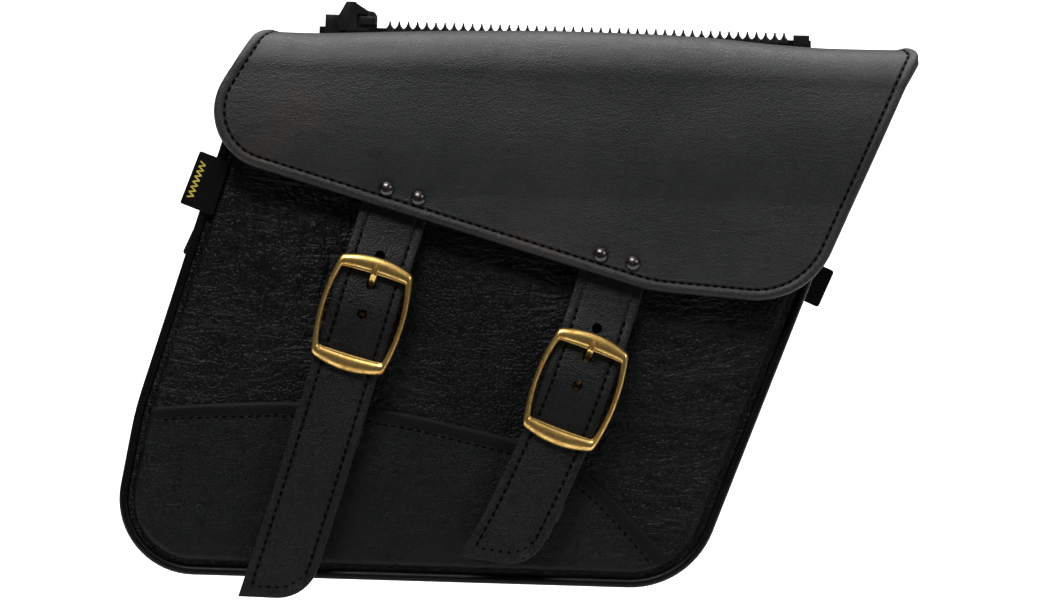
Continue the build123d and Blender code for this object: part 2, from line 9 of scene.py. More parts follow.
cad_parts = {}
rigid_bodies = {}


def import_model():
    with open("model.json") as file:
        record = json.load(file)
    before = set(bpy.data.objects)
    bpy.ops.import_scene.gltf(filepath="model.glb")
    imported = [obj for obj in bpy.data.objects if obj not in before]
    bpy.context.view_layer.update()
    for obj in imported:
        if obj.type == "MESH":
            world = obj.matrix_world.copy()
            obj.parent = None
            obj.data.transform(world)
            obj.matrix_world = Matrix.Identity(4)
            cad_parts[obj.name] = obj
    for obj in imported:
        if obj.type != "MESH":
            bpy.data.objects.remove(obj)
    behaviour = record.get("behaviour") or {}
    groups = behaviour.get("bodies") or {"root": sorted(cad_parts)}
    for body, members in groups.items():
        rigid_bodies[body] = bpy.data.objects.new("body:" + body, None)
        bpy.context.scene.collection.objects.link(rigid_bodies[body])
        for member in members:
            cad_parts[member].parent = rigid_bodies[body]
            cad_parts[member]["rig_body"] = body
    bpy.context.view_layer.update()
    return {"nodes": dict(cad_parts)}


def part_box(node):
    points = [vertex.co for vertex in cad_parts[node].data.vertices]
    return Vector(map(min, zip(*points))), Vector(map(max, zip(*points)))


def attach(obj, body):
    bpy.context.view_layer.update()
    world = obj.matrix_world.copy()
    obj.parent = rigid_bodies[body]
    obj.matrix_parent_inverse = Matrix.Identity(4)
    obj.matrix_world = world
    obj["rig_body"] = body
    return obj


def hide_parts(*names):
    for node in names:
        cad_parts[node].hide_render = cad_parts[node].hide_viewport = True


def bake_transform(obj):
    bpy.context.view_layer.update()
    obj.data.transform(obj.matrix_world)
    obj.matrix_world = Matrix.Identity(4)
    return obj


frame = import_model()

# Lengths below are millimetres in the CAD frame. A point is (x, depth, z), where depth is
# measured forward of the back face, so it lies at y = -depth. Meshes are written in metres,
# and the lights and the stage are placed in metres.
MM = 0.001

BODY_STOPS = [(-129.1, 124.0), (-180.5, -52.5), (-193.0, -130.0), (85.5, -130.0), (177.2, 124.0)]
BODY_RADII = [150.0, 36.0, 42.0]
RIM_Z = 124.0
FRONT_FOOT = 138.2
FRONT_INSIDE = 138.02
SEAM = [(-190.0, -52.5), (-140.0, -48.0), (-90.0, -46.5), (-31.0, -54.2), (32.5, -75.1), (92.0, -134.0)]

LID_STOPS = [(-121.7, 144.0), (-161.8, 72.8), (62.0, 10.0), (137.2, 5.2), (194.9, 144.0)]
LID_RADII = [29.0, 80.0, 40.0]
LID_TOP = 130.0
LID_FRONT = 153.3
LID_BEND = 20.0
LID_BACK = 16.3
LID_INSIDE = 4.3
BINDING_INSET = 1.4

STRAP_WIDTH = 31.75
STRAP_THICK = 3.2
STITCH_INSET = 4.3
STRAP_TOP = -70.0
FLEX_AT = -43.0
HOLE_PITCH = 14.3
HOLE_RADIUS = 2.45
HOLE_SIDES = 24
BAR_DEPTH = 148.3
STRAPS = {
    "left": dict(centre=(-73.5, -3.9), lean=15.3, curl=0.0001, tip=144.7, heel=136.0,
                 heel_radius=20.0, holes=-0.3, rivets=(-6.1, 9.5), rivet_at=-60.0),
    "right": dict(centre=(28.2, -36.4), lean=19.0, curl=0.0017, tip=96.0, heel=84.0,
                  heel_radius=19.0, holes=-2.0, rivets=(-7.9, 7.9), rivet_at=-64.5),
}
FORWARD = np.array([0, 1.0, 0])


# ---------------------------------------------------------------- small geometry tools

def smooth(value, low=0.0, high=1.0):
    """A smooth step from 0 at low to 1 at high."""
    t = np.clip((np.asarray(value, float) - low) / (high - low), 0, 1)
    return t * t * (3 - 2 * t)


def eased(value, knots):
    """A curve through (position, height) knots that eases from each to the next."""
    places = np.array([k[0] for k in knots], float)
    heights = np.array([k[1] for k in knots], float)
    slopes = np.gradient(heights, places)
    value = np.clip(np.asarray(value, float), places[0], places[-1])
    i = np.clip(np.searchsorted(places, value) - 1, 0, len(places) - 2)
    span = places[i + 1] - places[i]
    t = (value - places[i]) / span
    a, b = heights[i], heights[i + 1]
    m, n = slopes[i] * span, slopes[i + 1] * span
    return (((2 * t - 3) * t * t + 1) * a + ((t - 2) * t + 1) * t * m
            + (3 - 2 * t) * t * t * b + (t - 1) * t * t * n)


def wander(points, size, seed=0.0):
    """Smooth noise between about -1 and 1 at points, with features of the given size."""
    flat = np.asarray(points, float).reshape(-1, np.shape(points)[-1])
    if flat.shape[1] == 2:
        flat = np.column_stack([flat, np.zeros(len(flat))])
    values = [noise.noise(Vector((p / size + seed).tolist())) for p in flat]
    return np.array(values).reshape(np.shape(points)[:-1])


def crossing(first, second):
    """Where two lines cross, each given as a point and a direction."""
    (px, pz), (dx, dz) = first
    (qx, qz), (ex, ez) = second
    step = ((qx - px) * ez - (qz - pz) * ex) / (dx * ez - dz * ex)
    return (px + dx * step, pz + dz * step)


def inset_stops(stops, inset, top):
    """An open outline's corners moved inwards, with both ends on the line z = top."""
    lines = []
    for (ax, az), (bx, bz) in zip(stops, stops[1:]):
        dx, dz = bx - ax, bz - az
        length = math.hypot(dx, dz)
        lines.append(((ax - dz / length * inset, az + dx / length * inset), (dx, dz)))
    level = ((0.0, top), (1.0, 0.0))
    corners = [crossing(a, b) for a, b in zip(lines, lines[1:])]
    return [crossing(level, lines[0]), *corners, crossing(lines[-1], level)]


def rounded(stops, radii, step=1.0):
    """Points along a path whose inner corners are rounded, about a step apart."""
    points = [np.array(stops[0], float)]
    for before, corner, after, radius in zip(stops, stops[1:], stops[2:], radii):
        corner = np.array(corner, float)
        back, on = np.array(before) - corner, np.array(after) - corner
        back, on = back / np.linalg.norm(back), on / np.linalg.norm(on)
        half = math.acos(np.clip(back @ on, -1, 1)) / 2
        middle = corner + (back + on) / np.linalg.norm(back + on) * radius / math.sin(half)
        start, end = corner + back * radius / math.tan(half), corner + on * radius / math.tan(half)
        a, b = start - middle, end - middle
        turn = math.acos(np.clip(a @ b / radius ** 2, -1, 1))
        for k in np.linspace(0, 1, max(4, int(turn * radius / step))):
            arc = (math.sin((1 - k) * turn) * a + math.sin(k * turn) * b) / math.sin(turn)
            points.append(middle + arc)
    points.append(np.array(stops[-1], float))
    return spaced(np.array(points), step)


def spaced(points, step=None, count=None):
    """The same path with even spacing."""
    points = np.asarray(points, float)
    gaps = np.linalg.norm(np.diff(points, axis=0), axis=1)
    run = np.concatenate([[0], np.cumsum(gaps)])
    count = count or max(2, int(round(run[-1] / step)) + 1)
    places = np.linspace(0, run[-1], count)
    return np.column_stack([np.interp(places, run, points[:, k]) for k in range(points.shape[1])])


def circle(count):
    """The angles of evenly spaced points round a circle."""
    return np.linspace(0, 2 * math.pi, count + 1)[:-1]


def headings(path):
    """The unit direction of travel at each point of a path."""
    along = np.gradient(path, axis=0)
    return along / np.linalg.norm(along, axis=1)[:, None]


def rightward(path):
    """The unit direction to the right of travel at each point of a flat path."""
    along = headings(path)
    return np.column_stack([along[:, 1], -along[:, 0]])


def body_path(inset, top=RIM_Z, step=1.0):
    """The body's outline from the left rim round the floor to the right rim, moved inwards."""
    radii = [BODY_RADII[0], *[r - inset for r in BODY_RADII[1:]]]
    return rounded(inset_stops(BODY_STOPS, inset, top), radii, step)


def distance_to(points, path):
    """Each point's distance to the nearest point of a path."""
    flat = np.asarray(points, float).reshape(-1, 2)
    parts = [np.linalg.norm(chunk[:, None] - path[None], axis=2).min(1) for chunk in np.array_split(flat, 40)]
    return np.concatenate(parts).reshape(np.shape(points)[:-1])


def linked(name, data):
    """A new object in the scene."""
    made = bpy.data.objects.new(name, data)
    bpy.context.scene.collection.objects.link(made)
    return made


def mesh_object(name, points, faces, material, sharp=50.0):
    """A smooth-shaded object from millimetre points, with edges over the angle kept sharp."""
    points = np.asarray(points, float).reshape(-1, 3)
    data = bpy.data.meshes.new(name)
    data.from_pydata((points * [MM, -MM, MM]).tolist(), [], faces)
    work = bmesh.new()
    work.from_mesh(data)
    bmesh.ops.remove_doubles(work, verts=work.verts, dist=1e-6)
    bmesh.ops.dissolve_degenerate(work, edges=work.edges, dist=1e-6)
    bmesh.ops.recalc_face_normals(work, faces=work.faces)
    mark_sharp(work, sharp)
    work.to_mesh(data)
    work.free()
    data.materials.append(material)
    return linked(name, data)


def mark_sharp(work, sharp):
    """Smooth faces, with the edges that turn by more than the angle kept sharp."""
    for face in work.faces:
        face.smooth = True
    for edge in work.edges:
        if len(edge.link_faces) == 2:
            edge.smooth = edge.calc_face_angle(0) < math.radians(sharp)


def grid_faces(rows, columns, start=0, closed_rows=False, closed_columns=False):
    """Quads of a grid of points; closed_rows joins the last row to the first."""
    faces = []
    for r in range(rows if closed_rows else rows - 1):
        for c in range(columns if closed_columns else columns - 1):
            r2, c2 = (r + 1) % rows, (c + 1) % columns
            low, high = start + r * columns, start + r2 * columns
            faces.append([low + c, low + c2, high + c2, high + c])
    return faces


def shell(name, outer, inner, material, sharp=50.0):
    """A closed sheet between two grids of the same size."""
    rows, columns = outer.shape[:2]
    size = rows * columns
    faces = grid_faces(rows, columns) + [f[::-1] for f in grid_faces(rows, columns, size)]
    rim = [(0, c) for c in range(columns)] + [(r, columns - 1) for r in range(1, rows)]
    rim += [(rows - 1, c) for c in range(columns - 2, -1, -1)] + [(r, 0) for r in range(rows - 2, 0, -1)]
    rim = [r * columns + c for r, c in rim]
    faces += [[a, a + size, b + size, b] for a, b in zip(rim, rim[1:] + rim[:1])]
    points = np.concatenate([outer.reshape(-1, 3), inner.reshape(-1, 3)])
    return mesh_object(name, points, faces, material, sharp)


def swept(name, rings, material, closed=False, sharp=50.0):
    """A solid whose cross-section at each step is one closed ring of points."""
    rings = np.asarray(rings, float)
    count, around = rings.shape[:2]
    faces = grid_faces(count, around, closed_rows=closed, closed_columns=True)
    if not closed:
        faces += [list(range(around))[::-1], [(count - 1) * around + k for k in range(around)]]
    return mesh_object(name, rings, faces, material, sharp)


def frames_along(path, normals):
    """Unit sideways and normal vectors along a path, given rough normals."""
    along = headings(path)
    side = np.cross(along, normals)
    side /= np.linalg.norm(side, axis=1)[:, None]
    return side, np.cross(side, along)


def join(name, objects):
    """One object from several, keeping their materials."""
    work = bmesh.new()
    for piece in objects:
        work.from_mesh(piece.data)
    data = bpy.data.meshes.new(name)
    work.to_mesh(data)
    work.free()
    data.materials.append(objects[0].data.materials[0])
    for piece in objects:
        bpy.data.objects.remove(piece)
    return linked(name, data)


def stitches(name, path, normals, material, pitch=4.0, share=0.7, thread=0.42, lift=0.12):
    """A row of separate thread stitches, each arched, with its ends in the leather."""
    path = np.asarray(path, float)
    gaps = np.linalg.norm(np.diff(path, axis=0), axis=1)
    run = np.concatenate([[0], np.cumsum(gaps)])
    count = int(run[-1] // pitch)
    side, up = frames_along(path, normals)
    rings_per, around = 5, 6
    points, faces = [], []
    for n in range(count):
        middle = (n + 0.5) * run[-1] / count
        places = middle + np.linspace(-0.5, 0.5, rings_per) * pitch * share
        for k, place in enumerate(places):
            at, s, u = [np.array([np.interp(place, run, rows[:, a]) for a in range(3)])
                        for rows in (path, side, up)]
            end = abs(k - (rings_per - 1) / 2) / ((rings_per - 1) / 2)
            size = thread * (1 - 0.45 * end ** 2)
            at = at + u * (lift - 0.5 * end ** 2)
            for j in range(around):
                turn = 2 * math.pi * j / around
                points.append(at + size * (math.cos(turn) * s + math.sin(turn) * u))
        start = n * rings_per * around
        faces += grid_faces(rings_per, around, start, closed_columns=True)
        faces.append([start + j for j in range(around)][::-1])
        faces.append([start + (rings_per - 1) * around + j for j in range(around)])
    return mesh_object(name, points, faces, material, 80)


def bevelled_copy(cad_node, name, material, slot, width=0.35, segments=2):
    """The CAD piece with its hard edges rounded over, standing in for the node."""
    source = frame["nodes"][cad_node]
    data = source.data.copy()
    piece = linked(name, data)
    work = bmesh.new()
    work.from_mesh(data)
    bmesh.ops.remove_doubles(work, verts=work.verts, dist=1e-6)
    bmesh.ops.dissolve_limit(work, angle_limit=math.radians(1), verts=work.verts, edges=work.edges)
    work.to_mesh(data)
    work.free()
    modifier = piece.modifiers.new("round", "BEVEL")
    modifier.width = width * MM
    modifier.segments = segments
    modifier.limit_method = "ANGLE"
    modifier.angle_limit = math.radians(35)
    bake_modifiers(piece)
    set_material(piece, material)
    return place(piece, source["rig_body"], slot, cad_node)


def bake_modifiers(piece, sharp=40.0):
    """The piece's mesh with its modifiers applied."""
    bpy.context.view_layer.update()
    graph = bpy.context.evaluated_depsgraph_get()
    data = bpy.data.meshes.new_from_object(piece.evaluated_get(graph))
    piece.modifiers.clear()
    work = bmesh.new()
    work.from_mesh(data)
    bmesh.ops.recalc_face_normals(work, faces=work.faces)
    mark_sharp(work, sharp)
    work.to_mesh(data)
    work.free()
    piece.data = data


def set_material(piece, material):
    """The material as the piece's only one."""
    piece.data.materials.clear()
    piece.data.materials.append(material)


def place(piece, body, slot, *nodes):
    """Ride on a body and stand in for CAD nodes; the slot is not used."""
    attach(piece, body)
    if nodes:
        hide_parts(*nodes)
    return piece


# ---------------------------------------------------------------- materials

def new_material(name):
    """A material with its node tree and its surface shader."""
    material = bpy.data.materials.new(name)
    material.use_nodes = True
    tree = material.node_tree
    return material, tree, tree.nodes["Principled BSDF"]


def node(tree, kind, **values):
    """A shader node; values that name an input set it, and others set a property."""
    made = tree.nodes.new(kind)
    for key, value in values.items():
        label = key.replace("_", " ")
        if label in made.inputs:
            made.inputs[label].default_value = value
        else:
            setattr(made, key, value)
    return made


def ramp(tree, source, stops):
    """A value turned into a grey or a colour by (position, grey or colour) stops."""
    made = tree.nodes.new("ShaderNodeValToRGB")
    while len(made.color_ramp.elements) < len(stops):
        made.color_ramp.elements.new(0.5)
    for element, (position, value) in zip(made.color_ramp.elements, stops):
        element.position = position
        colour = value if isinstance(value, tuple) else (value, value, value)
        element.color = (*colour, 1.0)
    tree.links.new(source, made.inputs["Fac"])
    return made.outputs["Color"]


def coordinates(tree, scale=(1, 1, 1), turn=(0, 0, 0)):
    """The row frame's own coordinates, in metres, stretched and turned."""
    where = tree.nodes.new("ShaderNodeTexCoord")
    mapping = node(tree, "ShaderNodeMapping", Scale=scale, Rotation=turn)
    tree.links.new(where.outputs["Object"], mapping.inputs["Vector"])
    return mapping.outputs["Vector"]


def math_node(tree, operation, first, second):
    """A sum, product or other mix of two outputs or numbers."""
    made = node(tree, "ShaderNodeMath", operation=operation)
    for socket, value in zip(made.inputs, (first, second)):
        if isinstance(value, (int, float)):
            socket.default_value = value
        else:
            tree.links.new(value, socket)
    return made.outputs[0]


def add_share(tree, first, second, share):
    """The first value plus a share of the second."""
    return math_node(tree, "ADD", first, math_node(tree, "MULTIPLY", second, share))


def noise_of(tree, vector, scale, detail=4.0, roughness=0.6, distortion=0.0):
    made = node(tree, "ShaderNodeTexNoise", Scale=scale, Detail=detail, Roughness=roughness,
                Distortion=distortion)
    tree.links.new(vector, made.inputs["Vector"])
    return made.outputs["Fac"]


def cells_of(tree, vector, scale):
    """The distance to the middle of the nearest cell."""
    made = node(tree, "ShaderNodeTexVoronoi", feature="F1", Scale=scale)
    tree.links.new(vector, made.inputs["Vector"])
    return made.outputs["Distance"]


def bump(tree, height, distance, before=None):
    """A normal for a height of the given distance, over an earlier normal if there is one."""
    made = node(tree, "ShaderNodeBump", Strength=1.0, Distance=distance)
    tree.links.new(height, made.inputs["Height"])
    if before is not None:
        tree.links.new(before, made.inputs["Normal"])
    return made.outputs["Normal"]


def warped(tree, vector, scale, amount):
    """Coordinates pushed about by noise, so that cells aren't regular."""
    push = node(tree, "ShaderNodeTexNoise", Scale=scale, Detail=2.0)
    tree.links.new(vector, push.inputs["Vector"])
    mix = node(tree, "ShaderNodeMixRGB", blend_type="LINEAR_LIGHT", Fac=amount)
    tree.links.new(vector, mix.inputs["Color1"])
    tree.links.new(push.outputs["Color"], mix.inputs["Color2"])
    return mix.outputs["Color"]


def link_surface(tree, shader, colour, roughness, normal=None):
    """Drive the shader's colour and roughness, and its normal if there is one."""
    tree.links.new(colour, shader.inputs["Base Color"])
    tree.links.new(roughness, shader.inputs["Roughness"])
    if normal is not None:
        tree.links.new(normal, shader.inputs["Normal"])


def ridged(tree, vector, scale):
    """Narrow rounded ridges that branch like creases in leather."""
    level = noise_of(tree, vector, scale, 3.0, 0.5, 0.4)
    return ramp(tree, level, [(0.36, 0.0), (0.46, 0.7), (0.5, 1.0), (0.54, 0.7), (0.64, 0.0)])


def creases(tree, where, turn, fan):
    """Long creases across a turned direction, and a steeper set that spreads out near the fan."""
    stretched = coordinates(tree, (0.33, 1.0, 1.0), (0, turn, 0))
    bent = warped(tree, stretched, 45.0, 0.010)
    folds = add_share(tree, ridged(tree, bent, 105.0), ridged(tree, bent, 260.0), 0.8)
    zone = ramp(tree, noise_of(tree, where, 14.0, 2.0), [(0.36, 0.25), (0.6, 1.0)])
    folds = math_node(tree, "MULTIPLY", folds, zone)
    if fan is None:
        return folds
    steep = coordinates(tree, (1.0, 1.0, 0.3), (0, -0.75, 0))
    spread = ridged(tree, warped(tree, steep, 40.0, 0.008), 120.0)
    near = node(tree, "ShaderNodeVectorMath", operation="DISTANCE")
    tree.links.new(where, near.inputs[0])
    near.inputs[1].default_value = fan
    tenths = math_node(tree, "MULTIPLY", near.outputs["Value"], 10.0)
    spread = math_node(tree, "MULTIPLY", spread, ramp(tree, tenths, [(0.15, 1.0), (0.5, 0.0)]))
    return add_share(tree, folds, spread, 2.4)


def leather(name, colour, grain, grain_height, rough, shine, crease=0.0, crease_turn=0.0, brown=0.0,
            fan=None):
    """Coated leather: domed pebbles of the grain's size, creases, patches of wear, and painted highlight on
    the pebble tops with painted shade between them.

    The fan is a place near which a second set of creases spreads out at a steep angle.
    """
    material, tree, shader = new_material(name)
    where = coordinates(tree)
    soft = warped(tree, where, 700.0 / grain, 0.3 * grain * MM)
    pebble = cells_of(tree, soft, 1000.0 / grain)
    pebble = ramp(tree, pebble, [(0.0, 1.0), (0.35, 0.75), (0.62, 0.15), (0.8, 0.0)])
    fine = noise_of(tree, where, 1800.0 / grain, 3.0, 0.6)
    normal = bump(tree, add_share(tree, pebble, fine, 0.7), grain_height * MM)
    if crease:
        normal = bump(tree, creases(tree, where, crease_turn, fan), crease * MM, normal)
    patches = noise_of(tree, where, 22.0, 3.0, 0.5)
    dark = tuple(c * 0.8 for c in colour)
    warm = (colour[0] * (1.2 + brown), colour[1] * (1.15 + brown * 0.4), colour[2] * 1.08)
    # The colour is scaled by the pebble height, lighter on the tops and darker in the hollows: painted
    # highlight and painted shade that follow the grain.
    relief = min(1.6, 5 * grain_height)
    shaded = node(tree, "ShaderNodeVectorMath", operation="SCALE")
    tree.links.new(ramp(tree, patches, [(0.3, dark), (0.52, colour), (0.72, warm)]), shaded.inputs[0])
    shade = math_node(tree, "ADD", math_node(tree, "MULTIPLY", pebble, relief * 0.7), 1 - relief * 0.3)
    tree.links.new(shade, shaded.inputs["Scale"])
    rubbed = add_share(tree, noise_of(tree, where, 140.0, 4.0, 0.6), pebble, -0.15)
    roughness = ramp(tree, rubbed, [(0.2, rough - 0.06), (0.6, rough + 0.07)])
    link_surface(tree, shader, shaded.outputs["Vector"], roughness, normal)
    shader.inputs["Specular IOR Level"].default_value = shine
    return material


BRIGHT_BRASS, DULL_BRASS, TARNISH = (0.97, 0.64, 0.21), (0.56, 0.31, 0.08), (0.018, 0.010, 0.005)


def antique_brass(name, darkening=0.0):
    """Cast brass: polished high spots, brown tarnish in the hollows, and small pits."""
    material, tree, shader = new_material(name)
    where = coordinates(tree)
    tarnish = noise_of(tree, where, 170.0, 6.0, 0.7, 0.5)
    spots = noise_of(tree, where, 900.0, 3.0, 0.6)
    pits = ramp(tree, spots, [(0.59, 0.0), (0.68, 1.0)])
    geometry = tree.nodes.new("ShaderNodeNewGeometry")
    hollow = ramp(tree, geometry.outputs["Pointiness"], [(0.40, 1.0), (0.47, 0.0)])
    stain = ramp(tree, tarnish, [(0.46, 0.0), (0.7, 0.85)])
    deep, dirty, stained = [math_node(tree, "MULTIPLY", level, share)
                            for level, share in ((pits, 0.8), (hollow, 0.9), (stain, 0.75))]
    cover = math_node(tree, "MAXIMUM", math_node(tree, "MAXIMUM", deep, dirty), stained)
    # The darkening pulls the whole piece towards the tarnish colour. The pin uses it, partly as painted shade
    # for the gap behind the frame.
    cover = math_node(tree, "ADD", cover, darkening)
    colour = ramp(tree, cover, [(0.0, BRIGHT_BRASS), (0.5, DULL_BRASS), (1.0, TARNISH)])
    height = add_share(tree, noise_of(tree, where, 260.0, 4.0, 0.6), pits, -0.6)
    roughness = ramp(tree, cover, [(0.0, 0.30), (1.0, 0.6)])
    link_surface(tree, shader, colour, roughness, bump(tree, height, 0.06 * MM))
    shader.inputs["Metallic"].default_value = 1.0
    return material


def black_nickel(name):
    """Dark plated metal, slightly smeared."""
    material, tree, shader = new_material(name)
    smear = noise_of(tree, coordinates(tree), 700.0, 3.0, 0.6)
    colour = ramp(tree, smear, [(0.3, (0.07, 0.066, 0.065)), (0.7, (0.14, 0.13, 0.125))])
    link_surface(tree, shader, colour, ramp(tree, smear, [(0.3, 0.24), (0.7, 0.36)]))
    shader.inputs["Metallic"].default_value = 1.0
    return material


def woven(name, colour, thread, height, rough=0.85, turn=0.0, sheen=0.25):
    """Plain woven cloth with threads of the given width, crossing over and under."""
    material, tree, shader = new_material(name)
    where = coordinates(tree, (1, 1, 1), (0, turn, 0))
    split = tree.nodes.new("ShaderNodeSeparateXYZ")
    tree.links.new(where, split.inputs["Vector"])
    waves = []
    for axis in ("X", "Z", "Y"):
        angle = math_node(tree, "MULTIPLY", split.outputs[axis], math.pi / (thread * MM))
        waves.append(math_node(tree, "SINE", angle, 0.0))
    across = math_node(tree, "MULTIPLY", waves[0], waves[1])
    through = math_node(tree, "MULTIPLY", waves[1], waves[2])
    fuzz = noise_of(tree, where, 3000.0, 3.0, 0.7)
    level = add_share(tree, fuzz, math_node(tree, "ADD", across, through), 0.35)
    # The colour follows the weave's height over a random fibre tone: paler where the threads rise and darker
    # where they dip. This is painted highlight and painted shade of the weave.
    pale = tuple(c * 2.0 for c in colour)
    dark = tuple(c * 0.55 for c in colour)
    shades = ramp(tree, level, [(0.15, dark), (0.55, colour), (0.9, pale)])
    roughness = ramp(tree, fuzz, [(0.2, rough - 0.08), (0.8, rough + 0.06)])
    link_surface(tree, shader, shades, roughness, bump(tree, level, height * MM))
    shader.inputs["Sheen Weight"].default_value = sheen
    shader.inputs["Specular IOR Level"].default_value = 0.06
    return material


def moulded(name, colour, rough, texture=0.02):
    """Injection-moulded plastic with a faint orange-peel surface and rubbed patches."""
    material, tree, shader = new_material(name)
    where = coordinates(tree)
    peel = noise_of(tree, where, 1500.0, 3.0, 0.6)
    rubbed = noise_of(tree, where, 120.0, 4.0, 0.6)
    shades = ramp(tree, rubbed, [(0.35, colour), (0.75, tuple(c * 1.5 for c in colour))])
    roughness = ramp(tree, rubbed, [(0.3, rough - 0.06), (0.75, rough + 0.1)])
    link_surface(tree, shader, shades, roughness, bump(tree, peel, texture * MM))
    return material


def plain(name, colour, rough):
    """One colour and roughness, for the stage."""
    material, tree, shader = new_material(name)
    shader.inputs["Base Color"].default_value = (*colour, 1)
    shader.inputs["Roughness"].default_value = rough
    return material


FAN_AT = (-0.105, -0.142, 0.025)
LID_LEATHER = leather("lid_leather", (0.0196, 0.0207, 0.0222), grain=0.8, grain_height=0.12, rough=0.45,
                      shine=0.40, crease=0.06, crease_turn=0.5, brown=0.30)
TRIM_LEATHER = leather("trim_leather", (0.0012, 0.0013, 0.0014), grain=0.9, grain_height=0.05, rough=0.42,
                       shine=0.16)
FOLD_LEATHER = leather("fold_leather", (0.0072, 0.0076, 0.0078), grain=0.9, grain_height=0.05, rough=0.5,
                       shine=0.08)
PEBBLED_LEATHER = leather("pebbled_leather", (0.0015, 0.0019, 0.0020), grain=1.4, grain_height=0.26,
                          rough=0.41, shine=0.18, crease=0.46, crease_turn=0.12, fan=FAN_AT)
BODY_LEATHER = leather("body_leather", (0.0034, 0.0040, 0.0041), grain=0.8, grain_height=0.16, rough=0.38,
                       shine=0.21, crease=0.14, crease_turn=-0.35, brown=0.1)
STRAP_LEATHER = leather("strap_leather", (0.0050, 0.0056, 0.0057), grain=0.8, grain_height=0.16, rough=0.39,
                        shine=0.25, crease=0.08, crease_turn=1.1, brown=0.1)
BRASS = antique_brass("antique_brass")
# The pin and its ears are painted nearly all tarnish-dark: partly painted shade for the gap behind the buckle
# frame, partly a darker pin metal.
SHADED_PIN_BRASS = antique_brass("shaded_pin_brass", 1.0)
NICKEL = black_nickel("black_nickel")
THREAD = woven("thread", (0.0004, 0.0004, 0.0004), 0.25, 0.03, 0.9, sheen=0.0)
WEBBING = woven("webbing", (0.004, 0.004, 0.0045), 0.8, 0.18, sheen=0.05)
LINING_CLOTH = woven("lining_cloth", (0.03, 0.03, 0.032), 0.5, 0.08)
LABEL_CLOTH = woven("label_cloth", (0.0035, 0.0035, 0.0035), 0.3, 0.04, 0.75, turn=0.34, sheen=0.03)
LABEL_THREAD = woven("label_thread", (0.62, 0.50, 0.09), 0.3, 0.06, 0.7, turn=0.34, sheen=0.1)
ZIP_PLASTIC = moulded("zip_plastic", (0.006, 0.006, 0.006), 0.30)
CLIP_PLASTIC = moulded("clip_plastic", (0.006, 0.006, 0.006), 0.42)
BOARD_PLASTIC = moulded("board_plastic", (0.03, 0.03, 0.03), 0.55, 0.04)


# ---------------------------------------------------------------- camera, light and stage

FRONT_PLANE = 142.0
CAMERA_BACK = 2280.0
VIEW_WIDTH = 491.5
CAMERA_HEIGHT = 5.0
CAMERA_ROLL = math.radians(1.7)
SENSOR = 36.0


def make_camera():
    """A level camera in front of the bag, rolled slightly, that sees the given width of the front."""
    data = bpy.data.cameras.new("camera")
    data.sensor_width = SENSOR
    data.lens = SENSOR * CAMERA_BACK / VIEW_WIDTH
    camera = linked("camera", data)
    right = Vector((math.cos(CAMERA_ROLL), 0, math.sin(CAMERA_ROLL)))
    up = Vector((-math.sin(CAMERA_ROLL), 0, math.cos(CAMERA_ROLL)))
    turn = Matrix((right, up, Vector((0, -1, 0)))).transposed().to_4x4()
    where = Vector((0, -(FRONT_PLANE + CAMERA_BACK) * MM, CAMERA_HEIGHT * MM))
    camera.matrix_world = Matrix.Translation(where) @ turn
    bpy.context.scene.camera = camera


def area_light(name, where, aim, size, power):
    """A soft white rectangle of light that faces a place."""
    data = bpy.data.lights.new(name, "AREA")
    data.shape = "RECTANGLE"
    data.size, data.size_y = size
    data.energy = power
    light = linked(name, data)
    light.location = where
    light.rotation_euler = (Vector(aim) - Vector(where)).to_track_quat("-Z", "Y").to_euler()


def make_stage():
    """A pale floor, and a low white board far behind that curves up out of it.

    The board fills the picture behind the bag but leaves the bag in sight from the back and the sides.
    """
    floor_z, board_y, bend, top, reach = -0.30, 3.2, 0.6, 0.52, 6.0
    paper = plain("stage_paper", (0.9, 0.9, 0.9), 0.9)
    board = []
    for k in range(13):
        turn = math.pi / 2 * k / 12
        board.append((board_y - bend + bend * math.sin(turn), floor_z - 0.002 + bend - bend * math.cos(turn)))
    board.append((board_y, top))
    for name, half, profile in (("floor", reach, [(-0.45, floor_z), (reach, floor_z)]),
                                ("backdrop_board", 1.1, board)):
        points = [(x, y, z) for y, z in profile for x in (-half, half)]
        data = bpy.data.meshes.new(name)
        data.from_pydata(points, [], grid_faces(len(profile), 2))
        for face in data.polygons:
            face.use_smooth = True
        data.materials.append(paper)
        linked(name, data)


def make_light():
    """A dim world, three lights on the bag, and one on the backdrop board."""
    world = bpy.data.worlds.new("studio")
    world.use_nodes = True
    world.node_tree.nodes["Background"].inputs["Color"].default_value = (1, 1, 1, 1)
    world.node_tree.nodes["Background"].inputs["Strength"].default_value = 0.05
    bpy.context.scene.world = world
    area_light("top", (0.0, -0.15, 1.3), (0, -0.08, 0.1), (1.4, 0.8), 4.3)
    area_light("key", (-0.45, -1.35, 1.75), (0, -0.1, 0), (1.0, 0.5), 36)
    area_light("fill", (1.5, -1.3, 0.9), (0, -0.1, 0), (0.5, 0.5), 7)
    area_light("backdrop", (0.0, 0.9, 2.4), (0, 3.0, 0.3), (4.5, 1.2), 230)
    bpy.context.scene.view_settings.view_transform = "Standard"


# ---------------------------------------------------------------- body

def front_depth(points):
    """The cushioned front's depth: flat floor in the channel by the piping, then a soft rise."""
    inside = distance_to(points, FRONT_EDGE)
    rise = 2.7 * smooth(inside, 6.0, 9.0) + 1.5 * smooth(inside, 8.0, 55.0)
    return FRONT_FOOT + rise + 0.25 * wander(points, 38.0) + 0.12 * wander(points, 14.0, 3.0)


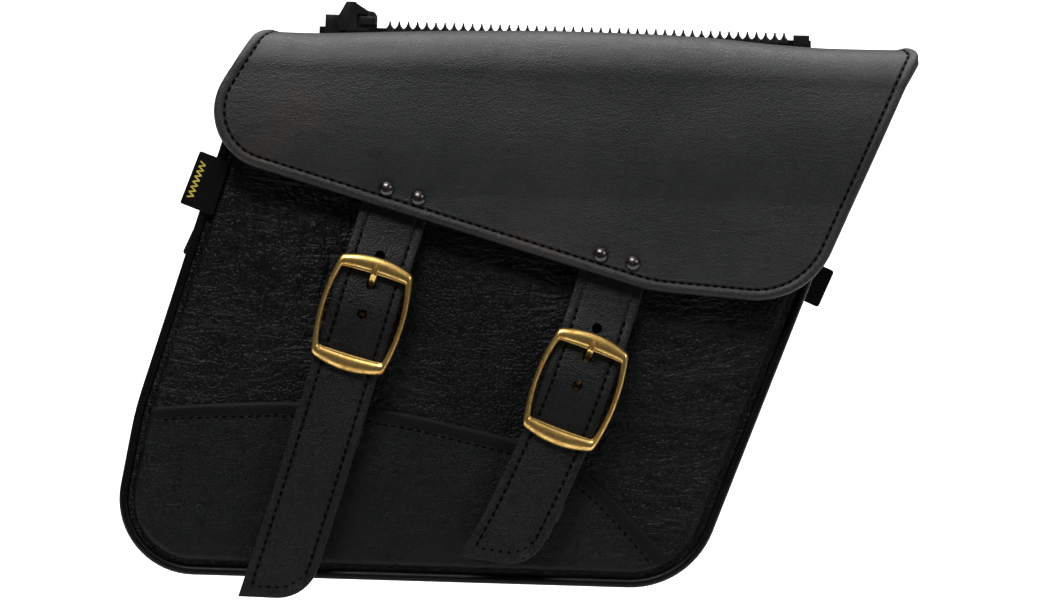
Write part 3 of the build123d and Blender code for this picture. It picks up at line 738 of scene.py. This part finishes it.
def left_right(path, heights):
    """The path's left and right x at each height."""
    low = path[:, 1].argmin()
    left, right = path[: low + 1][::-1], path[low:]
    floor = path[:, 1].min()
    flat = path[path[:, 1] < floor + 1e-4]
    xs_left = np.interp(heights, left[:, 1], left[:, 0])
    xs_right = np.interp(heights, right[:, 1], right[:, 0])
    xs_left[heights < floor + 1e-4] = flat[:, 0].min()
    xs_right[heights < floor + 1e-4] = flat[:, 0].max()
    return xs_left, xs_right


def make_front_panel():
    """One cushioned skin, from the piping's foot to the top edge."""
    path = body_path(4.5, RIM_Z - 0.5, 0.5)
    floor, top = path[:, 1].min(), path[:, 1].max()
    easing = np.arange(0, 15)
    heights = np.concatenate([floor + 0.05 * easing ** 2, np.arange(floor + 12.0, top - 0.5, 1.9), [top]])
    left, right = left_right(path, heights)
    across = np.linspace(0, 1, 170)
    across = across - 0.12 * np.sin(2 * math.pi * across) / (2 * math.pi)
    x = left[:, None] + (right - left)[:, None] * across[None]
    z = np.repeat(heights[:, None], len(across), axis=1)
    depth = front_depth(np.stack([x, z], -1))
    outer = np.stack([x, depth, z], -1)
    inner = np.stack([x, np.full_like(depth, FRONT_INSIDE), z], -1)
    piece = shell("front_leather", outer, inner, PEBBLED_LEATHER)
    place(piece, "root", "grained_leather", "front_panel")


def seam_path(shift, step=1.5):
    """The lower panel's curved top edge, within the front's edge, moved down by the shift."""
    x = np.arange(SEAM[0][0], SEAM[-1][0], 0.5)
    z = eased(x, SEAM) - shift
    points = np.column_stack([x, z])
    edge = body_path(7.4, RIM_Z, 0.5)
    low = points[:, 1] > np.interp(points[:, 0], *lower_edge(edge))
    inside = low & (points[:, 0] > left_right(edge, points[:, 1])[0])
    return spaced(points[inside], step)


def lower_edge(edge):
    """The bottom half of an outline as x and z, going right."""
    half = edge[edge[:, 1] < -60]
    order = np.argsort(half[:, 0])
    return half[order, 0], half[order, 1]


def make_lower_panel():
    """The smooth overlay, ruled between its seam and the front's lower edge."""
    top = seam_path(4.8)
    edge = body_path(6.9, RIM_Z, 0.5)
    start = np.linalg.norm(edge - top[0], axis=1)[: len(edge) // 2].argmin()
    end = np.linalg.norm(edge - top[-1], axis=1).argmin()
    count = 190
    top, low = spaced(top, count=count), spaced(edge[start:end + 1], count=count)
    share = np.linspace(0, 1, 44)[:, None, None]
    flat = top[None] * (1 - share) + low[None] * share
    base = front_depth(flat)
    outer = np.stack([flat[..., 0], base + 0.95, flat[..., 1]], -1)
    inner = np.stack([flat[..., 0], base + 0.05, flat[..., 1]], -1)
    piece = shell("lower_panel_leather", outer, inner, BODY_LEATHER)
    place(piece, "root", "body_leather", "lower_panel")


def make_fold():
    """The folded strip along the seam, with its stitches."""
    path = seam_path(0.0)
    down = rightward(path)
    profile = [(-0.1, 0.0), (0.1, 0.45), (0.8, 1.05), (1.8, 1.35), (3.0, 1.45), (4.2, 1.4), (5.0, 1.3),
               (5.45, 0.9), (5.5, 0.0)]
    wide = np.linspace(1.0, 1.2, len(path))
    rings = []
    for across, height in profile:
        flat = path + down * (across * wide)[:, None]
        rings.append(np.column_stack([flat[:, 0], front_depth(flat) + height, flat[:, 1]]))
    fold = swept("seam_fold", np.stack(rings, 1), FOLD_LEATHER)
    place(fold, "root", "trim_leather", "lower_panel_fold")
    flat = path + down * (6.4 * wide)[:, None]
    line = np.column_stack([flat[:, 0], front_depth(flat) + 0.95, flat[:, 1]])
    line = spaced(line, 1.0)[4:-6]
    place(stitches("seam_fold_stitches", line, FORWARD, THREAD), "root", "trim_leather")


def make_gusset():
    """The wall round the sides and floor, bellied out a little between the pipings."""
    path = body_path(1.4, RIM_Z, 2.0)
    out = rightward(path)
    depths = np.concatenate([[4.4, 4.8, 5.6], np.arange(8, 133, 3.0), [134.4, 135.2, 135.6]])
    share = (depths - 4.4) / 131.2
    belly = 1.6 * np.sin(math.pi * share) ** 0.6
    run = np.arange(len(path)) * 2.0
    ripple = 0.35 * wander(np.stack(np.meshgrid(run, depths), -1), 30.0, 7.0)
    swell = belly[:, None] + ripple * np.sin(math.pi * share)[:, None]
    swell = swell * smooth(RIM_Z + 6 - path[:, 1], 0, 14)[None]
    x = path[None, :, 0] + out[None, :, 0] * swell
    z = path[None, :, 1] + out[None, :, 1] * swell
    d = np.repeat(depths[:, None], len(path), axis=1)
    outer = np.stack([x, d, z], -1)
    inner = np.stack([x - out[None, :, 0] * 1.5, d, z - out[None, :, 1] * 1.5], -1)
    piece = shell("gusset_leather", outer, inner, BODY_LEATHER)
    place(piece, "root", "body_leather", "gusset")


def make_body_trim():
    """Pipings, boards, lining, back, webbing and rivets keep their CAD shape and get new materials.

    The hinge strip is narrowed to end inside the lid. Tabs, chapes and clips are rounded copies.
    """
    finishes = {
        "front_piping": TRIM_LEATHER, "back_piping": TRIM_LEATHER, "back_panel": BODY_LEATHER,
        "back_board": BOARD_PLASTIC, "gusset_board": BOARD_PLASTIC, "front_board": BOARD_PLASTIC,
        "body_lining": LINING_CLOTH, "lid_board": BOARD_PLASTIC,
        "clip_webbing_left": WEBBING, "clip_webbing_right": WEBBING,
        "strap_rivets_left": NICKEL, "strap_rivets_right": NICKEL,
    }
    for name, material in finishes.items():
        set_material(frame["nodes"][name], material)
    hinge = bevelled_copy("hinge_strip", "hinge_leather", LID_LEATHER, "lid_leather", 0.9, 3)
    low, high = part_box("hinge_strip")
    middle = (low.x + high.x) / 2
    for corner in hinge.data.vertices:
        corner.co.x = middle + (corner.co.x - middle) * 0.945
    for side in STRAPS:
        bevelled_copy(f"side_tab_{side}", f"side_loop_{side}", WEBBING, "webbing", 0.9, 3)
    for side in STRAPS:
        bevelled_copy(f"chape_{side}", f"chape_leather_{side}", STRAP_LEATHER, "strap_leather", 0.25)
        for part in ("plug", "socket"):
            bevelled_copy(f"clip_{part}_{side}", f"clip_{part}_body_{side}", CLIP_PLASTIC, "clip_plastic")


def make_label():
    """The woven label, with a plain zigzag in place of any words."""
    bevelled_copy("label_tag", "label_cloth_piece", LABEL_CLOTH, "label", 0.3)
    lean = math.radians(19.5)
    along = np.array([math.sin(lean), 0, math.cos(lean)])
    across = np.array([math.cos(lean), 0, -math.sin(lean)])
    low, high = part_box("label_tag")
    middle = np.array([low.x + high.x, 0, low.z + high.z]) / 2 / MM
    front = -low.y / MM
    line = []
    for k in range(15):
        shift = -4.2 + (1.5 if k % 2 else -1.5)
        line.append(middle + along * (-9.0 + k * 18.0 / 14) + across * shift + [0, front, 0])
    line = spaced(np.array(line), 0.35)
    side, up = frames_along(line, FORWARD)
    rings = [line + side * 0.34 * math.cos(turn) + up * 0.12 * math.sin(turn) for turn in circle(6)]
    place(swept("label_zigzag", np.stack(rings, 1), LABEL_THREAD), "root", "label")


# ---------------------------------------------------------------- lid

TOP_RUN = LID_FRONT - LID_BEND - LID_BACK
BEND_RUN = LID_BEND * math.pi / 2
FLAP_START = TOP_RUN + BEND_RUN
FLAP_TOP = LID_TOP - LID_BEND


def run_of(z):
    """The distance along the lid from its back edge, for a height on the bend or flap."""
    z = np.asarray(z, float)
    rise = np.clip((z - FLAP_TOP) / LID_BEND, 0, 1)
    return np.where(z < FLAP_TOP, FLAP_START + FLAP_TOP - z, FLAP_START - LID_BEND * np.arcsin(rise))


def lid_point(x, run, lift):
    """A point of the bent lid: across, along from the back, and above the outer surface."""
    run = np.asarray(run, float)
    turn = np.clip((run - TOP_RUN) / LID_BEND, 0, math.pi / 2)
    depth = LID_BACK + np.minimum(run, TOP_RUN) + LID_BEND * np.sin(turn)
    z = LID_TOP - LID_BEND * (1 - np.cos(turn)) - np.maximum(run - FLAP_START, 0)
    lift = lift + lid_shape(x, run)
    return np.stack([x + 0 * run, depth + lift * np.sin(turn), z + lift * np.cos(turn)], -1)


def lid_shape(x, run):
    """How far the leather stands off its plain shape: crown, soft waves and rivet dents."""
    x, run = np.broadcast_arrays(np.asarray(x, float), np.asarray(run, float))
    crown = eased(x, [(-150, -0.4), (-98, -0.9), (-50, 1.5), (20, 3.4), (77, 2.8), (139, -1.0), (200, -0.3)])
    on_top = smooth(run, 0.0, 40.0) * (1 - smooth(run, TOP_RUN + 6, FLAP_START + 18))
    places = np.stack([x, run], -1)
    waves = 0.45 * wander(places, 55.0, 1.7) + 0.18 * wander(places, 21.0, 5.1)
    flap = smooth(run, FLAP_START - 10, FLAP_START + 30)
    drop = np.clip((run - FLAP_START) / 56.0, 0, 1)
    shape = crown * on_top + waves * (0.4 + 0.6 * flap) + 2.4 * np.sin(math.pi * drop)
    for strap in STRAPS.values():
        for across in strap["rivets"]:
            rx, rz = strap_xz(strap, strap["rivet_at"], across)
            away = np.hypot(x - rx, run - run_of(rz))
            shape = shape - 0.9 * np.exp(-(away / 6.0) ** 2)
    return shape * smooth(run, 0.0, 8.0)


def lid_boundary(inset, step=1.5):
    """The lid's edge in (x, run), from the top left round to the top right, inset evenly."""
    path = rounded(inset_stops(LID_STOPS, inset, LID_TOP), [r - inset for r in LID_RADII], 0.5)
    left = np.column_stack([np.full(60, path[0, 0]), np.linspace(0, TOP_RUN, 60)])
    right = np.column_stack([np.full(60, path[-1, 0]), np.linspace(TOP_RUN, 0, 60)])
    middle = np.column_stack([path[:, 0], run_of(path[:, 1])])
    edge = np.concatenate([left[:-1], middle, right[1:]])
    turn = np.clip((edge[:, 1] - TOP_RUN) / LID_BEND, 0, math.pi / 2)
    below = LID_BEND * (1 - np.cos(turn))
    for side, lean, radius in ((-1, math.radians(-29.4), 8.0), (1, math.radians(22.6), 3.4)):
        reach = radius * (1 + math.sin(lean))
        drop = np.minimum(below, reach)
        arc = np.sqrt(radius ** 2 - (radius - drop) ** 2)
        cut = reach / math.cos(lean) - drop * math.tan(lean) - arc
        edge[:, 0] -= side * cut * ((below < reach) & (np.sign(edge[:, 0]) == side))
    return spaced(edge, step)


def lid_grid(inset, rows=126, columns=150):
    """A grid that fills the lid's outline, by blending its four edges."""
    edge = lid_boundary(inset, 0.5)
    corner_left = (edge @ np.array([-1.0, 0.9])).argmax()
    corner_right = (edge @ np.array([1.0, 1.4])).argmax()
    left = spaced(edge[:corner_left + 1], count=rows)
    bottom = spaced(edge[corner_left:corner_right + 1], count=columns)
    right = spaced(edge[corner_right:][::-1], count=rows)
    top = np.column_stack([np.linspace(left[0, 0], right[0, 0], columns), np.zeros(columns)])
    u = np.linspace(0, 1, columns)[None, :, None]
    v = np.linspace(0, 1, rows)[:, None, None]
    sides = left[:, None] * (1 - u) + right[:, None] * u
    ends = top[None] * (1 - v) + bottom[None] * v
    corners = (top[0] * (1 - u) + top[-1] * u) * (1 - v) + (bottom[0] * (1 - u) + bottom[-1] * u) * v
    return sides + ends - corners


def lid_sheet(name, inset, high, low, material):
    """A layer of the lid between two heights over its outer surface."""
    flat = lid_grid(inset)
    outer = lid_point(flat[..., 0], flat[..., 1], high)
    inner = lid_point(flat[..., 0], flat[..., 1], low)
    return shell(name, outer, inner, material)


def make_lid():
    """The leather skin, its lining, the rolled edge that joins them, and its stitches."""
    skin = lid_sheet("lid_leather_skin", BINDING_INSET + 5.9, 0.0, -1.75, LID_LEATHER)
    place(skin, "lid", "lid_leather", "lid_skin")
    lining = lid_sheet("lid_lining_cloth", 1.0, -3.35, -LID_INSIDE, LINING_CLOTH)
    place(lining, "lid", "lining", "lid_lining")

    edge = lid_boundary(BINDING_INSET)
    inward = rightward(edge)
    roll = [(-6.6, 0.02), (-5.9, 0.12), (-5.35, -0.02), (-4.95, -0.42), (-4.55, -0.42), (-4.2, 0.15),
            (-3.6, 0.72), (-2.4, 0.98), (-1.2, 0.9), (-0.4, 0.55), (0.0, 0.0), (0.12, -1.2), (0.0, -2.4),
            (-0.35, -3.1), (-1.2, -3.3), (-1.6, -2.6), (-1.8, -1.2), (-5.0, -1.1), (-6.5, -0.4)]
    rings = []
    for across, height in roll:
        flat = edge - inward * across
        rings.append(lid_point(flat[:, 0], flat[:, 1], height))
    edge_roll = swept("lid_edge_roll", np.stack(rings, 1), LID_LEATHER)
    place(edge_roll, "lid", "trim_leather", "lid_binding")

    flat = edge + inward * 4.75
    line = spaced(lid_point(flat[:, 0], flat[:, 1], -0.2), 1.0)
    x, run = spaced(flat, count=len(line)).T
    up = lid_point(x, run, 1.0) - lid_point(x, run, 0.0)
    place(stitches("lid_stitches", line, up, THREAD, 4.0, 0.66, 0.6), "lid", "trim_leather")


# ---------------------------------------------------------------- straps and buckles

def on_strap(strap, along, across):
    """A place on a strap in its own flat frame, as (across, up)."""
    curl = strap["curl"]
    turn = curl * np.asarray(along, float)
    u = (np.cos(turn) - 1) / curl + across * np.cos(turn)
    v = -np.sin(turn) / curl - across * np.sin(turn)
    return u, v


def from_strap(strap, u, v, depth):
    """A point of a strap's flat frame, turned by its lean, as (x, depth, z)."""
    lean = math.radians(strap["lean"])
    x, z = strap["centre"]
    return np.stack([x + u * math.cos(lean) + v * math.sin(lean), depth + 0 * u,
                     z - u * math.sin(lean) + v * math.cos(lean)], -1)


def strap_xz(strap, along, across):
    """Where a place on a strap is in x and z."""
    point = from_strap(strap, *on_strap(strap, along, across), 0.0)
    return float(point[0]), float(point[2])


def strap_middle(along):
    """The depth of a strap's mid-thickness along its length."""
    return eased(along, [(-75, 147.2), (-60, 147.2), (-47, 147.3), (-38, 148.9), (-27, 152.0),
                         (-19, 152.7), (-3, 154.7), (14, 153.0), (26, 152.7), (46, 153.1),
                         (70, 153.0), (95, 152.3), (150, 150.9)])


def tail_end(strap, across):
    """How far down the strap its cut end is, at each distance across."""
    half, radius = STRAP_WIDTH / 2, strap["heel_radius"]
    path = rounded([(-half - 5, strap["tip"] + 5 * (strap["tip"] - strap["heel"]) / STRAP_WIDTH),
                    (half, strap["heel"]), (half, strap["heel"] - 60)], [radius], 0.25)
    down = path[: path[:, 0].argmax() + 1]
    return np.interp(across, down[:, 0], down[:, 1])


def punched(piece, strap):
    """The strap with its row of round holes cut through."""
    points, faces = [], []
    for k in range(3):
        u, v = on_strap(strap, strap["holes"] - HOLE_PITCH * k, 0)
        start = len(points)
        for depth in (140.0, 165.0):
            for turn in circle(HOLE_SIDES):
                across, up = u + HOLE_RADIUS * math.cos(turn), v + HOLE_RADIUS * math.sin(turn)
                points.append(from_strap(strap, across, up, depth))
        faces += grid_faces(2, HOLE_SIDES, start, closed_columns=True)
        faces.append([start + j for j in range(HOLE_SIDES)][::-1])
        faces.append([start + HOLE_SIDES + j for j in range(HOLE_SIDES)])
    drill = mesh_object("drill", points, faces, STRAP_LEATHER)
    modifier = piece.modifiers.new("holes", "BOOLEAN")
    modifier.object = drill
    modifier.operation = "DIFFERENCE"
    bake_modifiers(piece, 38)
    bpy.data.objects.remove(drill)


def strap_mesh(side, strap):
    """One thick strap from under the lid to its cut end, with a groove for the stitches."""
    half = STRAP_WIDTH / 2
    mark = half - STITCH_INSET
    right = [0, 2.5, 5, 7.5, 9.5, mark - 0.8, mark - 0.35, mark, mark + 0.35, mark + 0.8,
             13.6, 14.7, 15.3, 15.7, half]
    across = np.array([-a for a in right[:0:-1]] + right)
    warp = strap["heel"] - 42
    rows = np.arange(STRAP_TOP, warp, 1.6)
    tails = np.linspace(0, 1, 30)
    along = np.repeat(rows[:, None], len(across), axis=1)
    end = tail_end(strap, across)
    along = np.concatenate([along, warp + (end[None] - warp) * tails[:, None]])
    wide = np.repeat(across[None], len(along), axis=0)
    wide = wide + 0.25 * np.sin(along / 23.0 + len(side))
    to_edge = np.minimum(half - np.abs(across)[None] + 0 * along, end[None] - along)
    to_edge = np.minimum(to_edge, along - STRAP_TOP + 2)
    groove = 0.6 * np.exp(-((to_edge - STITCH_INSET) / 0.55) ** 2)
    crown = 0.25 * smooth(to_edge, 0.6, 12.0)
    rounding = 0.6 * (1 - smooth(to_edge, -0.4, 0.9))
    middle = strap_middle(along)
    ripple = 0.18 * wander(np.stack([wide, along], -1), 17.0, 2.0 + len(side))
    u, v = on_strap(strap, along, wide)
    front = from_strap(strap, u, v, middle + STRAP_THICK / 2 - groove + crown - rounding + ripple)
    back = from_strap(strap, u, v, middle - STRAP_THICK / 2 + 0.5 * rounding)
    return shell(f"strap_leather_{side}", front, back, STRAP_LEATHER)


def make_strap(side, strap):
    """A punched strap, shaped to run out from under the lid, and its stitches."""
    piece = strap_mesh(side, strap)
    punched(piece, strap)
    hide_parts(f"strap_{side}", f"strap_head_{side}")
    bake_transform(piece)

    inset = STRAP_WIDTH / 2 - STITCH_INSET
    corner = strap["heel"] - STITCH_INSET
    slope = (strap["tip"] - strap["heel"]) / STRAP_WIDTH
    stops = [(-inset, FLEX_AT + 5), (-inset, corner + slope * 2 * inset), (inset, corner),
             (inset, FLEX_AT + 5)]
    line = rounded(stops, [2.0, strap["heel_radius"] - STITCH_INSET], 1.0)
    u, v = on_strap(strap, line[:, 1], line[:, 0])
    path = from_strap(strap, u, v, strap_middle(line[:, 1]) + STRAP_THICK / 2 - 0.2)
    thread = stitches(f"strap_stitches_{side}", path, FORWARD, THREAD, 4.0, 0.66, 0.6)
    place(thread, f"strap_{side}", "strap_leather")


def bowed_loop(width, corner_width, height, corner_height, radius):
    """An even loop of points round a rectangle with bowed sides and rounded corners."""
    u, v = corner_width / 2, corner_height / 2
    corners = [(-u, v), (u, v), (u, -v), (-u, -v)]
    bows = [(0, height / 2 - v), (width / 2 - u, 0), (0, v - height / 2), (u - width / 2, 0)]
    sides = []
    for k, (start, bow) in enumerate(zip(corners, bows)):
        share = np.linspace(0, 1, 33)[:, None]
        swell = 4 * share * (1 - share)
        side = np.array(start) * (1 - share) + np.array(corners[(k + 1) % 4]) * share + np.array(bow) * swell
        side = spaced(side, 0.1)
        trim = int(radius / 0.1)
        sides.append(spaced(side[trim:-trim], count=28))
    ring = []
    for k, side in enumerate(sides):
        corner, following = np.array(corners[(k + 1) % 4]), sides[(k + 1) % 4][0]
        ring += list(side)
        for t in (0.2, 0.4, 0.6, 0.8):
            ring.append(side[-1] * (1 - t) ** 2 + corner * 2 * t * (1 - t) + following * t * t)
    return np.array(ring)


def make_buckle(side, strap):
    """A cast frame with crowned bars, and a pin behind that it turns on, darkened partly as painted shade for
    the gap inside the frame.
    """
    outer = bowed_loop(41.2, 35.2, 55.6, 49.0, 1.8)
    inner = bowed_loop(36.2, 31.2, 39.4, 38.6, 1.0)
    back = 155.35
    section = [(0.0, 0.15), (0.015, 0.9), (0.07, 1.7), (0.18, 2.3), (0.34, 2.72), (0.52, 2.85), (0.68, 2.7),
               (0.80, 2.35), (0.84, 2.1), (0.88, 2.12), (0.93, 2.2), (0.97, 1.9), (1.0, 1.3), (1.0, 0.15),
               (0.96, 0.0), (0.04, 0.0)]
    rings = []
    for share, height in section:
        flat = outer * (1 - share) + inner * share
        rings.append(from_strap(strap, flat[:, 0], flat[:, 1], back + height))
    made = swept(f"buckle_brass_{side}", np.stack(rings, 1), BRASS, closed=True, sharp=75)
    place(made, f"buckle_{side}", "buckle_brass", f"buckle_frame_{side}")
    turn = circle(16)
    bar = []
    for u in np.linspace(-19.9, 19.9, 12):
        bar.append(from_strap(strap, np.full(16, u), 1.4 * np.cos(turn), BAR_DEPTH + 1.4 * np.sin(turn)))
    # The bar and its ears take the darkened pin brass, partly painted shade for the gap inside the frame.
    pieces = [swept("bar", bar, SHADED_PIN_BRASS)]
    for sign in (-1, 1):
        ear = []
        for depth in np.linspace(BAR_DEPTH - 1.3, back + 0.6, 8):
            ear.append(from_strap(strap, sign * 19.25 + 0.85 * np.cos(turn), 2.1 * np.sin(turn), depth))
        pieces.append(swept("ear", ear, SHADED_PIN_BRASS))
    place(join(f"buckle_pin_{side}", pieces), f"buckle_{side}", "buckle_brass")


def make_tongue(side, strap):
    """A forged tongue with a hollow down its front, from the bar through the strap's hole."""
    hole = -strap["holes"] + HOLE_PITCH
    spine = [(0.0, BAR_DEPTH + 0.3), (hole - 2.6, BAR_DEPTH + 0.4), (hole - 0.9, 150.0), (hole + 0.7, 154.6),
             (hole + 2.2, 157.2), (19.4, 159.3), (22.5, 159.55), (24.6, 159.1)]
    line = rounded(spine, [0.8, 0.8, 0.8, 1.5, 2.0, 3.0], 0.5)
    along = headings(line)
    run = np.linspace(0, 1, len(line))
    half = 1.55 * (1 - 0.35 * smooth(run, 0.86, 1.0)) * (0.62 + 0.38 * smooth(run, 0.42, 0.6))
    profile = [(-1, 0.0), (-0.92, 0.55), (-0.6, 0.8), (-0.25, 0.35), (0.25, 0.35), (0.6, 0.8),
               (0.92, 0.55), (1, 0.0), (0.8, -0.55), (0.3, -0.8), (-0.3, -0.8), (-0.8, -0.55)]
    rings = []
    for u_share, lift in profile:
        v = line[:, 0] - along[:, 1] * lift
        depth = line[:, 1] + along[:, 0] * lift
        rings.append(from_strap(strap, u_share * half, v, depth))
    shank = swept("shank", np.stack(rings, 1), BRASS, sharp=75)
    turn = circle(24)
    ring = []
    for u, radius in [(-1.6, 1.5), (-1.6, 2.3), (-1.2, 2.5), (1.2, 2.5), (1.6, 2.3), (1.6, 1.5)]:
        v, depth = radius * np.cos(turn), BAR_DEPTH + radius * np.sin(turn)
        ring.append(from_strap(strap, np.full(24, u), v, depth))
    eye = swept("eye", np.stack(ring, 1), BRASS, closed=True)
    made = join(f"tongue_brass_{side}", [shank, eye])
    place(made, f"tongue_{side}", "buckle_brass", f"buckle_tongue_{side}")


# ---------------------------------------------------------------- zipper

ZIP_DEPTH = 6.4
TOOTH_MIDDLE = 140.0
TOOTH_PITCH = 4.6
TOOTH_COUNT = 44
FIRST_TOOTH = -68.5


def make_zipper():
    """Moulded teeth that stand on the tape, and the tape, box, stop, slider and pull."""
    profile = [(2.2, 137.4), (2.25, 139.3), (1.7, 139.8), (1.1, 140.5), (0.7, 141.3), (0.5, 142.1),
               (0.42, 142.8), (0.15, 143.05)]
    outline = profile + [(-w, z) for w, z in profile[::-1]]
    widths = [(-2.2, 0.55), (-2.0, 0.85), (-1.5, 1.0), (1.5, 1.0), (2.0, 0.85), (2.2, 0.55)]
    teeth = []
    for n in range(TOOTH_COUNT):
        x = FIRST_TOOTH + n * TOOTH_PITCH
        rings = []
        for depth, share in widths:
            tall = 0.92 + 0.08 * share
            rings.append([(x + w * share, ZIP_DEPTH + depth, TOOTH_MIDDLE + (z - TOOTH_MIDDLE) * tall)
                          for w, z in outline])
        teeth.append(swept(f"tooth{n}", rings, ZIP_PLASTIC, sharp=45))
    place(join("zipper_chain", teeth), "root", "zipper_plastic", "zipper_teeth")
    bevelled_copy("zipper_tape", "zipper_tape_cloth", WEBBING, "webbing", 0.2)
    for cad_node, name, width in (("zipper_box", "zipper_box_body", 0.9),
                                  ("zipper_end_stop", "zipper_stop_body", 0.7),
                                  ("zip_slider", "zip_slider_body", 0.5), ("zip_pull", "zip_pull_body", 0.5)):
        bevelled_copy(cad_node, name, ZIP_PLASTIC, "zipper_plastic", width, 3)


# ---------------------------------------------------------------- build

FRONT_EDGE = body_path(0.0, RIM_Z + 4.0, 1.0)
make_camera()
make_light()
make_stage()
make_front_panel()
make_lower_panel()
make_fold()
make_gusset()
make_body_trim()
make_label()
make_lid()
for strap_side, strap_facts in STRAPS.items():
    make_strap(strap_side, strap_facts)
    make_buckle(strap_side, strap_facts)
    make_tongue(strap_side, strap_facts)
make_zipper()
